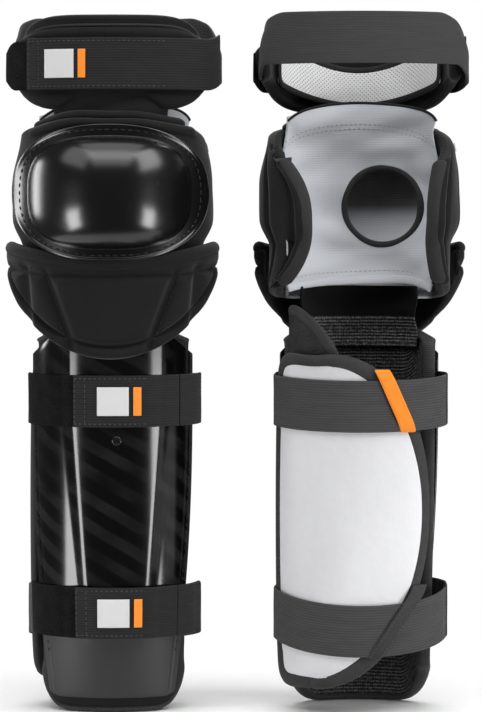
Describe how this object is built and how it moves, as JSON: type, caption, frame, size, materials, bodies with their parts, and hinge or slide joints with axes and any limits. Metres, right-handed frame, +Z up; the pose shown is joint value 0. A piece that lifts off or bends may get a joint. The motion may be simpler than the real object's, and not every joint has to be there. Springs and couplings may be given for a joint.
{
  "type": "ice hockey leg guards",
  "caption": "Pair of ice hockey leg guards: shin shell, foam liner, strapped calf wrap, padded knee with hard cap and sling, and thigh guard.",
  "frame": {"origin": "on the floor, midway between the two guards", "axes": "+Z up along the leg; X runs from the right guard on the left to the left guard; the right guard faces -Y and the left guard faces +Y"},
  "size_m": [0.3458, 0.1952, 0.516],
  "materials": {
    "gloss_plastic": "high gloss",
    "shell_plastic": "high gloss with a faint diagonal weave",
    "liner_fabric": "looped terry knit over foam",
    "cover_fabric": "plain woven nylon over foam",
    "sling_fabric": "stretch knit",
    "mesh_fabric": "perforated mesh",
    "calf_fabric": "smooth coated fabric over foam",
    "binding_fabric": "folded binding tape",
    "webbing": "ribbed elastic webbing",
    "loop_pile": "brushed loop pile",
    "orange_fabric": "sewn tape",
    "badge_print": "rubberised print"
  },
  "bodies": {
    "right_shin": {"right_shin_liner": "liner_fabric", "right_shin_shell": "shell_plastic", "right_calf_wrap_anchor": "loop_pile", "right_knee_flex_panel": "liner_fabric", "right_upper_strap_loop": "loop_pile", "right_lower_strap_loop": "loop_pile"},
    "right_knee": {"right_knee_pad": "cover_fabric", "right_knee_cap": "gloss_plastic", "right_knee_apron": "cover_fabric", "right_knee_sling": "sling_fabric", "right_sling_ring": "binding_fabric", "right_neck_panel": "cover_fabric"},
    "right_thigh": {"right_thigh_pad": "cover_fabric", "right_thigh_lining": "mesh_fabric", "right_thigh_loop_patch": "loop_pile", "right_thigh_strap_back": "webbing"},
    "right_thigh_tab": {"right_thigh_strap_tab": "webbing", "right_thigh_badge": "badge_print"},
    "right_calf_wrap": {"right_calf_wrap_panel": "calf_fabric", "right_calf_wrap_binding": "binding_fabric", "right_upper_strap_keeper": "orange_fabric", "right_lower_strap_keeper": "binding_fabric", "right_upper_strap_back": "webbing", "right_lower_strap_back": "webbing"},
    "right_upper_strap": {"right_upper_strap_side": "webbing"},
    "right_upper_tab": {"right_upper_strap_tab": "webbing", "right_upper_badge": "badge_print"},
    "right_lower_strap": {"right_lower_strap_side": "webbing"},
    "right_lower_tab": {"right_lower_strap_tab": "webbing", "right_lower_badge": "badge_print"},
    "left_shin": {"left_shin_liner": "liner_fabric", "left_shin_shell": "shell_plastic", "left_calf_wrap_anchor": "loop_pile", "left_knee_flex_panel": "liner_fabric", "left_upper_strap_loop": "loop_pile", "left_lower_strap_loop": "loop_pile"},
    "left_knee": {"left_knee_pad": "cover_fabric", "left_knee_cap": "gloss_plastic", "left_knee_apron": "cover_fabric", "left_knee_sling": "sling_fabric", "left_sling_ring": "binding_fabric", "left_neck_panel": "cover_fabric"},
    "left_thigh": {"left_thigh_pad": "cover_fabric", "left_thigh_lining": "mesh_fabric", "left_thigh_loop_patch": "loop_pile", "left_thigh_strap_back": "webbing"},
    "left_thigh_tab": {"left_thigh_strap_tab": "webbing", "left_thigh_badge": "badge_print"},
    "left_calf_wrap": {"left_calf_wrap_panel": "calf_fabric", "left_calf_wrap_binding": "binding_fabric", "left_upper_strap_keeper": "orange_fabric", "left_lower_strap_keeper": "binding_fabric", "left_upper_strap_back": "webbing", "left_lower_strap_back": "webbing"},
    "left_upper_strap": {"left_upper_strap_side": "webbing"},
    "left_upper_tab": {"left_upper_strap_tab": "webbing", "left_upper_badge": "badge_print"},
    "left_lower_strap": {"left_lower_strap_side": "webbing"},
    "left_lower_tab": {"left_lower_strap_tab": "webbing", "left_lower_badge": "badge_print"}
  },
  "joints": [
    {"name": "right_knee_flex", "type": "hinge", "parent": "right_shin", "child": "right_knee", "pos_m": [-0.092, -0.04, 0.3], "axis": [-1, 0, 0], "range_deg": [0, 25]},
    {"name": "right_thigh_flex", "type": "hinge", "parent": "right_knee", "child": "right_thigh", "pos_m": [-0.092, -0.046, 0.4385], "axis": [-1, 0, 0], "range_deg": [0, 30]},
    {"name": "right_thigh_tab_peel", "type": "hinge", "parent": "right_thigh", "child": "right_thigh_tab", "pos_m": [-0.0124, -0.0102, 0.482], "axis": [0, 0, 1], "range_deg": [0, 60]},
    {"name": "right_calf_wrap_swing", "type": "hinge", "parent": "right_shin", "child": "right_calf_wrap", "pos_m": [-0.1555, 0.0158, 0.15], "axis": [0, 0, 1], "range_deg": [0, 75]},
    {"name": "right_upper_strap_swing", "type": "hinge", "parent": "right_calf_wrap", "child": "right_upper_strap", "pos_m": [-0.0288, 0.0147, 0.23], "axis": [0, 0, 1], "range_deg": [0, 90]},
    {"name": "right_upper_tab_peel", "type": "hinge", "parent": "right_upper_strap", "child": "right_upper_tab", "pos_m": [-0.0416, -0.0405, 0.231], "axis": [0, 0, 1], "range_deg": [0, 90]},
    {"name": "right_lower_strap_swing", "type": "hinge", "parent": "right_calf_wrap", "child": "right_lower_strap", "pos_m": [-0.0302, 0.0144, 0.072], "axis": [0, 0, 1], "range_deg": [0, 90]},
    {"name": "right_lower_tab_peel", "type": "hinge", "parent": "right_lower_strap", "child": "right_lower_tab", "pos_m": [-0.0434, -0.0362, 0.075], "axis": [0, 0, 1], "range_deg": [0, 90]},
    {"name": "left_knee_flex", "type": "hinge", "parent": "left_shin", "child": "left_knee", "pos_m": [0.092, 0.04, 0.3], "axis": [1, 0, 0], "range_deg": [0, 25]},
    {"name": "left_thigh_flex", "type": "hinge", "parent": "left_knee", "child": "left_thigh", "pos_m": [0.092, 0.046, 0.4385], "axis": [1, 0, 0], "range_deg": [0, 30]},
    {"name": "left_thigh_tab_peel", "type": "hinge", "parent": "left_thigh", "child": "left_thigh_tab", "pos_m": [0.1716, 0.0102, 0.482], "axis": [0, 0, -1], "range_deg": [0, 60]},
    {"name": "left_calf_wrap_swing", "type": "hinge", "parent": "left_shin", "child": "left_calf_wrap", "pos_m": [0.0285, -0.0158, 0.15], "axis": [0, 0, -1], "range_deg": [0, 75]},
    {"name": "left_upper_strap_swing", "type": "hinge", "parent": "left_calf_wrap", "child": "left_upper_strap", "pos_m": [0.1552, -0.0147, 0.23], "axis": [0, 0, -1], "range_deg": [0, 90]},
    {"name": "left_upper_tab_peel", "type": "hinge", "parent": "left_upper_strap", "child": "left_upper_tab", "pos_m": [0.1424, 0.0405, 0.231], "axis": [0, 0, -1], "range_deg": [0, 90]},
    {"name": "left_lower_strap_swing", "type": "hinge", "parent": "left_calf_wrap", "child": "left_lower_strap", "pos_m": [0.1538, -0.0144, 0.072], "axis": [0, 0, -1], "range_deg": [0, 90]},
    {"name": "left_lower_tab_peel", "type": "hinge", "parent": "left_lower_strap", "child": "left_lower_tab", "pos_m": [0.1406, 0.0362, 0.075], "axis": [0, 0, -1], "range_deg": [0, 90]},
    {"name": "guards_apart", "type": "slide", "parent": "right_shin", "child": "left_shin", "axis": [1, 0, 0], "range_m": [0, 0.25]}
  ],
  "couplings": [
    {"joint": "right_upper_strap_swing", "follows": "right_calf_wrap_swing", "ratio": 1.15},
    {"joint": "right_lower_strap_swing", "follows": "right_calf_wrap_swing", "ratio": 1.15},
    {"joint": "left_upper_strap_swing", "follows": "left_calf_wrap_swing", "ratio": 1.15},
    {"joint": "left_lower_strap_swing", "follows": "left_calf_wrap_swing", "ratio": 1.15}
  ]
}
